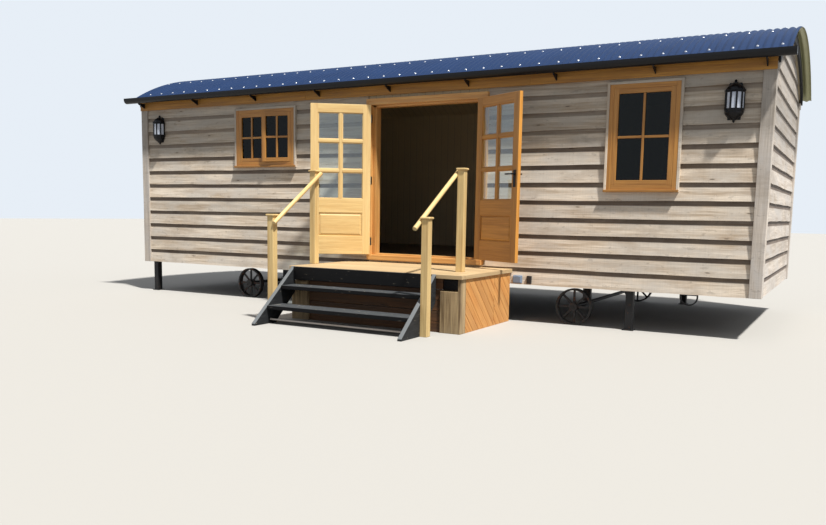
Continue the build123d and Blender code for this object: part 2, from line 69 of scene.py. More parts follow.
def swing(angle, axis):
    """Turn about one axis, in radians."""
    return Matrix.Rotation(angle, 4, axis)


camera_data = bpy.data.cameras.new("camera")
camera_data.sensor_width = 36
camera_data.lens = 34.521
camera_data.shift_y = 0.05725
camera_data.clip_end = 300
camera = bpy.data.objects.new("camera", camera_data)
camera.matrix_world = (at(*camera_place) @ swing(camera_yaw, "Z") @ swing(math.pi / 2 - camera_pitch, "X")
                       @ swing(camera_roll, "Z"))
scene.collection.objects.link(camera)
scene.camera = camera


class Wire:
    """The output of a shader node. Sums on it are written as plain expressions."""

    def __init__(self, tree, socket=None):
        self.tree = tree
        self.socket = socket

    def node(self, kind, settings, inputs, output=0):
        """Adds a node of a kind, with its settings first, then values or wires for its inputs."""
        made = self.tree.nodes.new(kind)
        for name, value in settings.items():
            setattr(made, name, value)
        for name, value in inputs.items():
            if isinstance(value, Wire):
                self.tree.links.new(value.socket, made.inputs[name])
            else:
                made.inputs[name].default_value = value
        return Wire(self.tree, made.outputs[output])

    def sum(self, operation, *values):
        return self.node("ShaderNodeMath", {"operation": operation}, dict(enumerate(values)))

    def __add__(self, other):
        return self.sum("ADD", self, other)

    def __sub__(self, other):
        return self.sum("SUBTRACT", self, other)

    def __rsub__(self, other):
        return self.sum("SUBTRACT", other, self)

    def __mul__(self, other):
        return self.sum("MULTIPLY", self, other)

    def __truediv__(self, other):
        return self.sum("DIVIDE", self, other)

    def __pow__(self, other):
        return self.sum("POWER", self, other)

    def __gt__(self, other):
        return self.sum("GREATER_THAN", self, other)

    __radd__ = __add__
    __rmul__ = __mul__

    def rise(self, low, high):
        """Goes smoothly from 0 to 1 as this wire goes from low to high."""
        return self.node("ShaderNodeMapRange", {"interpolation_type": "SMOOTHSTEP"},
                         {"Value": self, "From Min": low, "From Max": high})

    def mix(self, low, high):
        """Colour that goes from low to high as this wire goes from 0 to 1."""
        return self.node("ShaderNodeMix", {"data_type": "RGBA"}, {0: self, 6: low, 7: high}, 2)

    def scaled(self, other):
        """This vector or colour with each part multiplied by the same part of another."""
        return self.node("ShaderNodeVectorMath", {"operation": "MULTIPLY"}, {0: self, 1: other})

    def moved(self, x, y, z):
        """This vector moved along x, y and z."""
        return self.node("ShaderNodeVectorMath", {"operation": "ADD"}, {0: self, 1: self.vector(x, y, z)})

    def vector(self, x, y, z):
        return self.node("ShaderNodeCombineXYZ", {}, {0: x, 1: y, 2: z})

    def part(self, index):
        """One number out of this vector."""
        return self.node("ShaderNodeSeparateXYZ", {}, {0: self}, index)

    def noise(self, scale, detail=2.0, roughness=0.5):
        return self.node("ShaderNodeTexNoise", {},
                         {"Vector": self, "Scale": scale, "Detail": detail, "Roughness": roughness})

    def place(self):
        """Where on the hut a point of the surface lies."""
        return self.node("ShaderNodeTexCoord", {}, {}, "Object")

    def mark(self, name):
        """A vector that the mesh carries under this name."""
        return self.node("ShaderNodeAttribute", {"attribute_name": name}, {}, "Vector")

    def backdrop(self, light, seen):
        """One colour for the light that it throws, and another for how it looks."""
        looked_at, mirrored, through = (self.node("ShaderNodeLightPath", {}, {}, ray) for ray in
                                        ("Is Camera Ray", "Is Glossy Ray", "Is Transmission Ray"))
        return self.sum("MAXIMUM", self.sum("MAXIMUM", looked_at, mirrored), through).mix(light, seen)


def new_finish(name):
    """Empty finish, with a wire to start from and its surface shader."""
    material = bpy.data.materials.new(name)
    material.use_nodes = True
    return material, Wire(material.node_tree), material.node_tree.nodes["Principled BSDF"].inputs


def feed(inputs, **values):
    """Sets or links a shader's inputs, named with _ for a space."""
    for name, value in values.items():
        socket = inputs[name.replace("_", " ")]
        if isinstance(value, Wire):
            value.tree.links.new(value.socket, socket)
        else:
            socket.default_value = value


world = bpy.data.worlds.new("studio")
world.use_nodes = True
scene.world = world
feed(world.node_tree.nodes["Background"].inputs,
     Color=Wire(world.node_tree).backdrop((0.34, 0.35, 0.37, 1), (0.80, 0.86, 0.93, 1)))

lamp_data = bpy.data.lights.new("high_lamp", "SUN")
lamp_data.energy = 6.2
lamp_data.angle = 0.06
lamp_data.color = (1.0, 0.965, 0.91)
lamp_from = Vector((2.2, -1.0, 4.6))
lamp = bpy.data.objects.new("high_lamp", lamp_data)
lamp.rotation_euler = lamp_from.to_track_quat("Z", "Y").to_euler()
scene.collection.objects.link(lamp)

floor_reach = 70
floor_finish, start, inputs = new_finish("pale_floor")
feed(inputs, Roughness=0.9, Base_Color=start.backdrop((0.20, 0.197, 0.19, 1), (0.405, 0.398, 0.379, 1)))
ground = bmesh.new()
bmesh.ops.create_grid(ground, x_segments=1, y_segments=1, size=floor_reach)
floor_mesh = bpy.data.meshes.new("pale_floor")
ground.to_mesh(floor_mesh)
ground.free()
floor_mesh.materials.append(floor_finish)
pale_floor = bpy.data.objects.new("pale_floor", floor_mesh)
scene.collection.objects.link(pale_floor)


# ---------------- Running gear
# Welded steel chassis rails and cross members, two axles with spoked cast wheels, steady legs
# and the hanging loop, all brushed with black chassis paint that dulls and rusts at the pits.

def colour(red, green, blue):
    """Linear colour from the 0 to 255 values of a colour chart."""
    parts = [value / 255 for value in (red, green, blue)]
    return tuple(v / 12.92 if v < 0.04045 else ((v + 0.055) / 1.055) ** 2.4 for v in parts) + (1,)


def lit(tone, share):
    """A colour made darker or brighter."""
    return tuple(min(1, part * share) for part in tone[:3]) + (1,)


def bumped(height, depth):
    """Normal with small heights pressed into the surface, depth in metres."""
    return height.node("ShaderNodeBump", {}, {"Height": height, "Distance": depth, "Strength": 1.0})


def painted_metal(name, paint, bare, roughness, grain, depth, chips, metallic=0.0, gloss=0.5):
    """Coated metal: uneven sheen, fine surface texture and worn or rusted patches."""
    material, start, inputs = new_finish(name)
    cloud = start.place().noise(3.1, 4, 0.6)
    fine = start.place().noise(grain, 3, 0.6)
    worn = (start.place().noise(23, 5, 0.65) + fine * 0.25).rise(0.86 - chips, 0.92 - chips)
    tint = cloud.mix(lit(colour(*paint), 0.8), lit(colour(*paint), 1.25))
    feed(inputs, Base_Color=worn.mix(tint, colour(*bare)), Metallic=metallic,
         Roughness=fine * 0.16 + worn * 0.25 + (roughness - 0.08), Specular_IOR_Level=gloss,
         Normal=bumped(fine + worn * -0.6, depth))
    return material


def finish_nodes(material, *names):
    """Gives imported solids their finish."""
    for name in names:
        for place in nodes[name].material_slots:
            place.material = material


chassis_paint = painted_metal("chassis_paint", (30, 30, 31), (86, 58, 40), 0.5, 140, 0.0006, chips=0.12,
                              metallic=0.2, gloss=0.3)
cast_wheel = painted_metal("cast_wheel", (34, 33, 33), (98, 62, 40), 0.6, 90, 0.0012, chips=0.16,
                           metallic=0.35)
finish_nodes(chassis_paint, "chassis_rails", "chassis_cross_members", "axles", "axle_hangers",
             "steady_legs", "hanging_loop")
finish_nodes(cast_wheel, "wheels")


# ---------------- Floor, lining and ceiling
# Dark stained boards on the chassis, cream painted matchboard on the walls and under the roof
# deck. They are plain from outside and show only through the doorway and the panes.

lining_pitch = 0.118
floor_pitch = 0.135


def painted_boards(name, chart, pitch, axis, sheen):
    """Painted or stained boards with a narrow joint every pitch along one axis."""
    material, start, inputs = new_finish(name)
    face = colour(*chart)
    along = start.place().part(axis) / pitch
    joint = along.sum("PINGPONG", along, 0.5).rise(0.0, 0.03)
    brushed = start.place().scaled((18, 18, 3)).noise(2.0, 4, 0.6)
    cloud = start.place().noise(1.3, 3)
    tint = (cloud * 0.6 + brushed * 0.4).mix(lit(face, 0.88), face)
    feed(inputs, Base_Color=(1 - joint).mix(tint, lit(face, 0.35)), Roughness=sheen + brushed * 0.1,
         Normal=bumped(joint + brushed * 0.06, 0.002))
    return material


finish_nodes(painted_boards("cream_lining", (206, 190, 158), lining_pitch, 0, 0.45), "front_wall_left",
             "front_wall_right", "front_wall_over_door", "front_wall_under_door", "back_wall", "roof_deck")
finish_nodes(painted_boards("cream_ends", (206, 190, 158), lining_pitch, 1, 0.45), "end_walls")
finish_nodes(painted_boards("stained_floor", (72, 52, 38), floor_pitch, 1, 0.38), "floor")


# ---------------- Cladding
# Feather-edge boards of air-dried oak, nailed horizontally with the thick edge down, each
# lapping the one below. The sawn lower edges wander a little and the faces have silvered.

post_low, post_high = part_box("corner_posts")
front = post_low.y
back = post_high.y
middle = (front + back) / 2
half_length = post_high.x
skirt = post_low.z
post = 0.125
cladding_depth = 0.038
course = 0.195
board_height = 0.222
board_step = 0.07
board_least = 0.004
butt_face, butt_thick = 0.014, 0.019
top_face, top_thick = 0.031, 0.006
# Share of a course above which a band of painted shadow lies under the next board's lap
lap_shade = 0.70
joint_gap = 0.001

# One arc shapes the roof: the height of its centre, and the radii of the sheet's outer face,
# the deck's underside and the barge boards' underside
arc_centre = 0.1005
roof_radius = 3.2735
deck_inner = 3.1612
barge_inner = 3.1462

# How a member's own x, y and z lie when its grain runs along the hut, across it or up it
lying = Matrix.Identity(4)
across = Matrix(((0, -1, 0, 0), (1, 0, 0, 0), (0, 0, 1, 0), (0, 0, 0, 1)))
upright = Matrix(((0, 0, -1, 0), (0, 1, 0, 0), (1, 0, 0, 0), (0, 0, 0, 1)))


def ease_edges(form, edges, ease):
    """Rounds some edges in two facets."""
    bmesh.ops.bevel(form, geom=edges, offset=ease, segments=2, profile=0.5, affect="EDGES", material=-1)


def saw_through(form, place, facing, drop=False, near=0.0):
    """Cuts a form at a plane. Where told, drops what lies past it and closes the end."""
    bmesh.ops.bisect_plane(form, geom=form.verts[:] + form.edges[:] + form.faces[:], dist=near,
                           plane_co=place, plane_no=facing, clear_outer=drop)
    if drop:
        bmesh.ops.holes_fill(form, edges=[edge for edge in form.edges if edge.is_boundary])


def sawn(length, depth, height, ease=0.003, cuts=0):
    """Straight member from its low corner, edges eased, cut across its length where it will bend."""
    member = bmesh.new()
    bmesh.ops.create_cube(member, size=1)
    for vert in member.verts:
        vert.co = ((vert.co.x + 0.5) * length, (vert.co.y + 0.5) * depth, (vert.co.z + 0.5) * height)
    if ease:
        ease_edges(member, member.edges[:], ease)
    if cuts:
        runs = [edge for edge in member.edges if abs(edge.verts[0].co.x - edge.verts[1].co.x) > length / 2]
        bmesh.ops.subdivide_edges(member, edges=runs, cuts=cuts, use_grid_fill=True)
    return member


def fresh_grain():
    """Where in the log a board comes from."""
    return Vector((random.uniform(0, 40), random.uniform(0, 9), random.uniform(0, 9)))


class Gathered:
    """Members of one piece. A timber's grain runs along its own x, and no two boards are alike."""

    def __init__(self):
        self.whole = bmesh.new()
        self.part = bpy.data.meshes.new("member")

    def join(self, member, place):
        """Turns and moves a member into place."""
        member.transform(place)
        member.to_mesh(self.part)
        member.free()
        self.whole.from_mesh(self.part)

    def put(self, member, place, grain=None, tone=None, painted_shade_and_wear=None):
        """Joins a timber with its own grain and tone, 0 for dark to 1 for pale, and a second mark from 0 to
        1: painted lap shadow on the boards, wear on black timber, whose tone is dust and painted sheen.
        """
        runs = member.verts.layers.float_vector.new("grain")
        looks = member.verts.layers.float_vector.new("looks")
        grain = fresh_grain() if grain is None else grain
        tone = random.random() if tone is None else tone
        for vert in member.verts:
            vert[runs] = vert.co + grain
            vert[looks] = (tone(vert.co) if callable(tone) else tone, painted_shade_and_wear(vert.co) if painted_shade_and_wear else 0, 0)
        self.join(member, place)

    def fill(self, low, high, run="x", ease=0.003, cuts=0, place=lying, tone=None, grain=None):
        """Puts a timber in the space between two corners, its grain along x, y or z."""
        wide, deep, tall = (b - a for a, b in zip(low, high))
        if run == "x":
            member, turn, corner = sawn(wide, deep, tall, ease, cuts), lying, low
        elif run == "y":
            member, turn, corner = sawn(deep, wide, tall, ease, cuts), across, (high[0], low[1], low[2])
        else:
            member, turn, corner = sawn(tall, deep, wide, ease, cuts), upright, (high[0], low[1], low[2])
        self.put(member, place @ at(*corner) @ turn, tone=tone, grain=grain)

    def piece(self, name, finish, slot, body="hut", stands_for=None, smooth=None):
        """Makes the object, finished and riding on its body, smooth up to an angle where told."""
        mesh = bpy.data.meshes.new(name)
        self.whole.to_mesh(mesh)
        self.whole.free()
        bpy.data.meshes.remove(self.part)
        mesh.materials.append(finish)
        if smooth:
            mesh.shade_smooth()
            mesh.set_sharp_from_angle(angle=smooth)
        made = bpy.data.objects.new(name, mesh)
        scene.collection.objects.link(made)
        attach(made, body)
        if stands_for:
            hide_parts(stands_for)
        return made


def timber(name, pale, deep, grey, knot, greying, streaks, spread, roughness, relief, clear=0.9, saw=0.0,
           weather_and_eave_shade=0.0):
    """Sawn or planed timber, lighter or darker by member. Of its cells, the share clear has no knot."""
    material, start, inputs = new_finish(name)
    pale, deep, grey, knot = (colour(*chart) for chart in (pale, deep, grey, knot))
    run = start.mark("grain")
    tone, painted_shade_and_wear = (start.mark("looks").part(index) for index in (0, 1))

    # Knots: one in some of the cells, with the streaks pushed aside round it
    cells = run.scaled((1.7, 7.5, 7.5))
    cell = cells.vector(cells.part(0), cells.part(1) + cells.part(2), 0.0)
    reach, lucky = (cell.node("ShaderNodeTexVoronoi", {"voronoi_dimensions": "2D"},
                              {"Vector": cell, "Scale": 1.0}, output) for output in ("Distance", "Color"))
    lucky = lucky.part(0) > clear
    halo = (1 - reach.rise(0.02, 0.24)) * lucky
    core = (1 - reach.rise(0.02, 0.065)) * lucky
    pushed = run.moved(0.0, halo * 0.02, halo * 0.014)

    # Growth streaks, the finer bands in them, pores, clouds of greying and the marks of the saw
    streak = pushed.scaled((0.9, 17, 17)).noise(1.0, 5, 0.62)
    band = pushed.scaled((2.4, 75, 75)).noise(1.0, 3, 0.6)
    pore = run.scaled((9, 420, 420)).noise(1.0, 2, 0.6)
    cloud = run.scaled((1.7, 5.0, 5.0)).noise(1.0, 4, 0.62)
    marks = run.scaled((160, 4, 4)).noise(1.0, 2, 0.5)

    body = (streak * 0.6 + band * 0.4).rise(0.35, 0.65)
    wood = (body * streaks + (1 - streaks) * 0.5).mix(deep, pale)
    wood = (cloud.rise(0.36, 0.66) * greying).mix(wood, grey)
    shade = (1 - spread) + tone * (2 * spread)
    shade = shade * (0.86 + pore * 0.28) * (1 + (marks - 0.5) * saw)
    wood = wood.scaled(shade.vector(shade, shade, shade))
    wood = (halo * 0.35).mix(wood, deep)
    wood = (core * 0.8).mix(wood, knot)
    painted_lap_shadow = painted_shade_and_wear.rise(0.0, 0.16)
    if weather_and_eave_shade:
        # Rain stains, dark flecks, and painted eave shadow: the top rows darkened by height, where the
        # painted lap shadows are weaker
        place = start.place()
        stain = (place.scaled((1.0, 1.0, 2.6)).noise(1.25, 5, 0.66) + (cloud - 0.5) * 0.35).rise(0.50, 0.74)
        wood = (stain * weather_and_eave_shade).mix(wood, deep)
        fleck = place.scaled((9, 9, 22)).noise(1.0, 3, 0.7).rise(0.60, 0.68)
        wood = (fleck * 0.22).mix(wood, knot)
        shaded = (place.part(2) + (stain - 0.5) * 0.12).rise(1.90, 2.15)
        wood = (shaded * 0.36).mix(wood, colour(88, 86, 80))
        painted_lap_shadow = painted_lap_shadow * (1 - shaded * 0.30)
    # Painted shadow under each board's lap, in dark brown
    wood = (painted_lap_shadow * (0.56 + cloud * 0.5)).mix(wood, colour(64, 41, 20))
    height = band * 0.5 + pore * 0.35 + streak * 0.4 + marks * (0.6 * saw) - core * 0.5
    feed(inputs, Base_Color=wood, Roughness=roughness + band * 0.16 - 0.08, Normal=bumped(height, relief))
    return material


weathered_oak = timber("weathered_oak", (244, 231, 213), (172, 150, 124), (206, 199, 189), (70, 52, 38),
                       greying=0.8, streaks=0.85, spread=0.10, roughness=0.74, relief=0.0016, saw=0.20,
                       weather_and_eave_shade=0.5)
silvered_oak = timber("silvered_oak", (222, 212, 201), (160, 147, 132), (194, 189, 184), (70, 60, 50),
                      greying=0.8, streaks=0.8, spread=0.09, roughness=0.76, relief=0.0016, clear=0.88,
                      saw=0.20, weather_and_eave_shade=0.5)


def arc_height(radius, y):
    """Height of the roof arc of a radius, at a place across the hut."""
    return arc_centre + math.sqrt(radius ** 2 - (y - middle) ** 2)


# How a sawn edge wanders: three waves, each with its range of radians per metre and of sizes
edge_waves = (((1.0, 2.2), (0.0008, 0.0028)), ((3.0, 6.5), (0.0004, 0.0014)),
              ((9.0, 17.0), (0.0002, 0.0006)))


def feather_edge(timbers, place, run, base, spans, lid=None):
    """One board between two places along a wall, in the spans that its openings leave."""
    wander = [(random.uniform(*rates), random.uniform(0, 6.3), random.uniform(*sizes))
              for rates, sizes in edge_waves]
    cup = random.uniform(-0.0015, 0.003)
    grain = fresh_grain()
    tone = random.random()

    def waver(s):
        return sum(size * math.sin(rate * s + start) for rate, start, size in wander)

    for s0, s1, z0, z1 in spans:
        s0, s1 = max(s0, run[0]), min(s1, run[1])
        z0, z1 = max(z0, base), min(z1, base + board_height)
        if s1 - s0 < board_least or z1 - z0 < board_least:
            continue
        board = sawn(s1 - s0, 1, z1 - z0, 0, max(1, round((s1 - s0) / board_step)))
        # The board is cut where its painted lap shadow begins
        crease = min(base + lap_shade * course, z1 - 0.001) - z0
        if crease > 0.001:
            saw_through(board, (0, 0, crease), (0, 0, 1))
        for vert in board.verts:
            s = s0 + vert.co.x
            z = z0 + vert.co.z
            up = (z - base) / board_height
            thick = butt_thick + (top_thick - butt_thick) * up
            face = butt_face + (top_face - butt_face) * up - cup * (1 - up) * (0.5 + 40 * waver(s * 0.7))
            z += waver(s) * (1 - up) * 1.6
            if lid:
                z = min(z, lid(s))
            vert.co = (s, face + vert.co.y * thick, z)
        # The second mark is painted lap shadow, rising towards the top of each board
        timbers.put(board, place, grain - Vector((0, 0, base)), tone,
                    painted_shade_and_wear=lambda co: max(0.0, min(1.0, ((co.z - base) / course - lap_shade) * 2.3)))


def left_over(span, opening):
    """What an opening leaves of a span of boarding: beside it, below it and above it."""
    a, b, low, high = span
    x0, x1, z0, z1 = opening
    if x0 >= b or x1 <= a or z0 >= high or z1 <= low:
        return [span]
    m0, m1 = max(a, x0), min(b, x1)
    pieces = [(a, x0, low, high), (x1, b, low, high), (m0, m1, low, z0), (m0, m1, z1, high)]
    return [piece for piece in pieces if piece[1] > piece[0] and piece[3] > piece[2]]


def cover_wall(timbers, place, run, top, joints, openings=()):
    """Courses of feather-edge over one wall, in lengths, cut round its openings."""
    base = skirt
    row = 0
    while base < top:
        ends = [run[0], *joints[row % len(joints)], run[1]]
        row += 1
        for j0, j1 in zip(ends, ends[1:]):
            limits = (j0 + (joint_gap if j0 > run[0] else 0), j1 - (joint_gap if j1 < run[1] else 0))
            spans = [(*limits, base, min(base + board_height, top))]
            for opening in openings:
                spans = [piece for span in spans for piece in left_over(span, opening)]
            feather_edge(timbers, place, limits, base, spans)
        base += course


frame_low, frame_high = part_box("door_frame")
sill_low, sill_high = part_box("door_sill")
fascia_low, fascia_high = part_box("fascias")
left_window = (-2.503, -1.519, 1.880, 2.610)
right_window = (2.769, 3.485, 1.551, 2.639)
window_trim = 0.041
lap_in = 0.004
past_roof = 9
openings = [(frame_low.x + lap_in, frame_high.x - lap_in, sill_low.z, past_roof)]
for x0, x1, z0, z1 in (left_window, right_window):
    openings.append((x0 - window_trim + lap_in, x1 + window_trim - lap_in,
                     z0 - window_trim + lap_in, z1 + window_trim - lap_in))
end_of_boards = half_length - post + 0.003
long_run = (-end_of_boards, end_of_boards)
top_of_boards = fascia_low.z + 0.01

front_boards = Gathered()
cover_wall(front_boards, at(0, front, 0), long_run, top_of_boards, ((0.5,),), openings)
front_boards.piece("front_cladding", weathered_oak, "weathered_oak")

back_boards = Gathered()
cover_wall(back_boards, at(0, back, 0) @ swing(math.pi, "Z"), long_run, top_of_boards,
           ((-1.6, 1.4), (-0.1, 3.0), (-3.0, 0.9)))
back_boards.piece("back_cladding", weathered_oak, "weathered_oak")

for side, name in ((1, "right_end_cladding"), (-1, "left_end_cladding")):
    end_boards = Gathered()
    place = at(side * half_length, middle, 0) @ swing(side * math.pi / 2, "Z")
    reach = (back - front) / 2 - post + 0.003
    base = skirt
    while base < arc_centre + barge_inner - 0.02:
        rise = base + 0.03 - arc_centre
        half = min(reach, math.sqrt(max(0.01, (deck_inner + 0.01) ** 2 - rise ** 2)))
        feather_edge(end_boards, place, (-half, half), base, [(-half, half, base, base + board_height)],
                     lid=lambda s: arc_centre + math.sqrt((deck_inner + 0.004) ** 2 - s ** 2))
        base += course
    end_boards.piece(name, silvered_oak, "weathered_oak")


# ---------------- Corner posts and fascias
# Square oak posts close the four corners, each with a small capping block under the roof. The
# fascias are planed softwood boards nailed along the top of both long walls, oiled warm.

cap_grow = 0.008
cap_drop = 0.095
post_drop = 0.045
fascia_proud = 0.014
fascia_joints = ((-half_length, -1.31), (-1.309, 1.84), (1.841, half_length))
oiled_fascia = timber("oiled_fascia", (198, 142, 60), (136, 88, 30), (156, 114, 56), (66, 38, 18),
                      greying=0.35, streaks=0.8, spread=0.10, roughness=0.55, relief=0.0006)
posts = Gathered()
fascias = Gathered()
y0 = front - middle
near_and_far = [at(0, middle, 0) @ swing(angle, "Z") for angle in (0, math.pi)]
for side in (1, -1):
    for place in near_and_far:
        x0 = side * half_length - (post if side > 0 else 0)
        stub = sawn(fascia_high.z - post_drop - skirt, post, post, 0.004, 6)
        for vert in stub.verts:
            vert.co.y += 0.0012 * math.sin(3.1 * vert.co.x + side)
        posts.put(stub, place @ at(x0 + post, y0, skirt) @ upright)
        posts.fill((x0 - cap_grow * (side < 0), y0 - cap_grow, fascia_high.z - cap_drop),
                   (x0 + post + cap_grow * (side > 0), y0 + post, arc_height(deck_inner, front) - 0.001),
                   place=place)
posts.piece("corner_post_timbers", silvered_oak, "weathered_oak", stands_for="corner_posts")
for place in near_and_far:
    for x0, x1 in fascia_joints:
        fascias.fill((max(x0, post - half_length), y0 + 0.002, fascia_low.z + 0.004),
                     (min(x1, half_length - post), y0 + cladding_depth, fascia_high.z), "x", 0, place=place)
        fascias.fill((x0, y0 - fascia_proud, fascia_low.z),
                     (x1, y0 - 0.0005, arc_height(roof_radius - 0.026, front)), "x", 0.002, place=place)
fascias.piece("fascia_boards", oiled_fascia, "joinery_timber", stands_for="fascias")


# ---------------- Roof sheet
# Curved corrugated steel in one bend over the barrel, factory coated slate blue, held by rows
# of bright hex-headed screws with washers on the crests.

corrugation = 0.0762
sheet_half = 4.516
wave = 0.0092
sheet_middle = roof_radius - 0.0108
steel = 0.0012
eave_overhang = 0.110
sheet_angle = math.asin((middle - front + eave_overhang) / sheet_middle)
arc_steps = 34
wave_steps = 8

slate_blue = painted_metal("slate_blue_coating", (21, 44, 80), (66, 80, 102), 0.52, 60, 0.0002, chips=0.02,
                           gloss=0.1)
olive_underside = painted_metal("olive_underside", (166, 166, 124), (150, 148, 118), 0.5, 60, 0.0002,
                                chips=0.03)
sheet = Gathered()
bmesh.ops.create_grid(sheet.whole, x_segments=round(2 * sheet_half / corrugation) * wave_steps,
                      y_segments=arc_steps, size=0.5)
for vert in sheet.whole.verts:
    x = vert.co.x * 2 * sheet_half
    turn = vert.co.y * 2 * sheet_angle
    radius = sheet_middle + wave * math.cos(2 * math.pi * x / corrugation)
    vert.co = (x, middle + radius * math.sin(turn), arc_centre + radius * math.cos(turn))
corrugated_roof = sheet.piece("corrugated_roof", slate_blue, "roof_sheet", stands_for="roof_sheet")
corrugated_roof.data.shade_smooth()
corrugated_roof.data.materials.append(olive_underside)
gauge = corrugated_roof.modifiers.new("gauge", "SOLIDIFY")
gauge.thickness = steel
gauge.offset = 0
gauge.material_offset = 1

# Rows across the roof, and at which of every three crests each begins
screw_rows = ((-1.60, 0), (-1.08, 1), (-0.54, 2), (0.0, 0), (0.54, 1), (1.08, 2), (1.60, 0))
crest_count = int(sheet_half / corrugation)

# Sides, radius at the foot and at the top, thickness, and height of the middle over the crest
washer = (12, 0.0125, 0.0100, 0.0024, 0.0012)
screw_head = (6, 0.0075, 0.0062, 0.0060, 0.0050)
bright_screw = painted_metal("bright_screw", (214, 218, 224), (190, 190, 190), 0.30, 300, 0.0001,
                             chips=0.05, metallic=0.35)
screws = Gathered()
for row, first in screw_rows:
    for crest in range(first - crest_count, crest_count + 1, 3):
        if abs(crest) == crest_count:
            continue
        stand = (at(crest * corrugation, middle, arc_centre) @ swing(-math.asin(row / sheet_middle), "X")
                 @ at(0, 0, sheet_middle + wave))
        for sides, foot, top, tall, lift in (washer, screw_head):
            bmesh.ops.create_cone(screws.whole, segments=sides, radius1=foot, radius2=top, depth=tall,
                                  cap_ends=True, matrix=stand @ at(0, 0, lift))
screws.piece("roof_screws", bright_screw, "roof_sheet", smooth=0.6)


# ---------------- Barge boards and gutter
# A bent board closes the deck at each end, painted black. A half-round gutter runs the full
# length of the front eave on flat triangular brackets, all in black coated metal.

black_metal = painted_metal("black_metal", (12, 13, 18), (40, 40, 42), 0.38, 160, 0.0003, chips=0.02,
                            gloss=0.25)
black_board = painted_metal("black_board_paint", (24, 25, 30), (60, 58, 54), 0.55, 120, 0.0006, chips=0.03,
                            gloss=0.2)
finish_nodes(black_board, "barge_boards")
finish_nodes(black_metal, "gutter", "gutter_brackets")


# ---------------- Door frame and sill
# Rebated frame of oiled oak with a thin outer trim, head on top of the jambs, and a deep sill
# that the leaves close over.

rebate_left, rebate_right, rebate_top = -0.266, 1.256, 2.5893
opening_left, opening_right, opening_top = -0.311, 1.301, 2.6343
door_face = front - 0.030
wall_face = front + cladding_depth
wall_inner = wall_face + 0.087
sill_top = sill_high.z - 0.018
sill_nose = 0.015
trim = 0.032
jamb_face = door_face + 0.002
leaf_thick = 0.044
leaf_play = 0.005
stop_face = door_face + leaf_thick + leaf_play
stop = 0.050
head_stop = 0.026


def oiled_timber(name, pale, deep, grey, spread=0.08, roughness=0.42):
    """Planed joinery oak, oiled, almost free of knots."""
    return timber(name, pale, deep, grey, (92, 50, 20), greying=0.3, streaks=0.8, spread=spread,
                  roughness=roughness, relief=0.0004, clear=0.995)


oiled_oak = oiled_timber("oiled_oak", (220, 172, 104), (180, 122, 62), (200, 158, 104))
door_trim = Gathered()
for x0, x1 in ((opening_left - trim, opening_left), (opening_right, opening_right + trim)):
    door_trim.fill((x0, door_face, sill_top), (x1, wall_face, opening_top), "z")
door_trim.fill((opening_left - trim, door_face, opening_top),
               (opening_right + trim, wall_face, opening_top + trim))
for x0, x1, s0, s1 in ((opening_left, rebate_left, rebate_left, rebate_left + stop),
                       (rebate_right, opening_right, rebate_right - stop, rebate_right)):
    door_trim.fill((x0, jamb_face, sill_top), (x1, wall_inner, rebate_top), "z", 0.002)
    door_trim.fill((s0, stop_face, sill_top), (s1, wall_inner, rebate_top), "z", 0.002)
door_trim.fill((opening_left, jamb_face, rebate_top), (opening_right, wall_inner, opening_top), "x", 0.002)
door_trim.fill((rebate_left, stop_face, rebate_top - head_stop), (rebate_right, wall_inner, rebate_top),
               "x", 0.002)
door_trim.piece("door_frame_timbers", oiled_oak, "joinery_timber", stands_for="door_frame")

door_sill = Gathered()
door_sill.fill((opening_left, door_face - sill_nose, sill_low.z), (opening_right, wall_inner, sill_top),
               "x", 0.005)
door_sill.fill((rebate_left + stop, stop_face, sill_top - 0.004),
               (rebate_right - stop, wall_inner, sill_top + 0.018))
door_sill.piece("door_sill_timbers", oiled_oak, "joinery_timber", stands_for="door_sill")


# ---------------- Door leaves
# Framed leaves: stiles and three rails, a raised and fielded panel below, glazing bars above
# with six panes. Each hangs on three steel butts; the right one has the lever handle.

leaf_width = 0.753
leaf_low, leaf_high = 0.714, 2.5843
pin_gap = 0.0025
stand_off = 0.009
stile = 0.097
top_rail, lock_rail, bottom_rail = 0.106, 0.175, 0.225
panel_height = 0.300
panel_thick = 0.030
bar = 0.040
bead = 0.010
tongue = 0.002
hinge_y = door_face - stand_off
left_hang = at(rebate_left + pin_gap, hinge_y, 0) @ swing(math.radians(-145), "Z")
right_hang = at(rebate_right - pin_gap, hinge_y, 0) @ swing(math.radians(152), "Z")


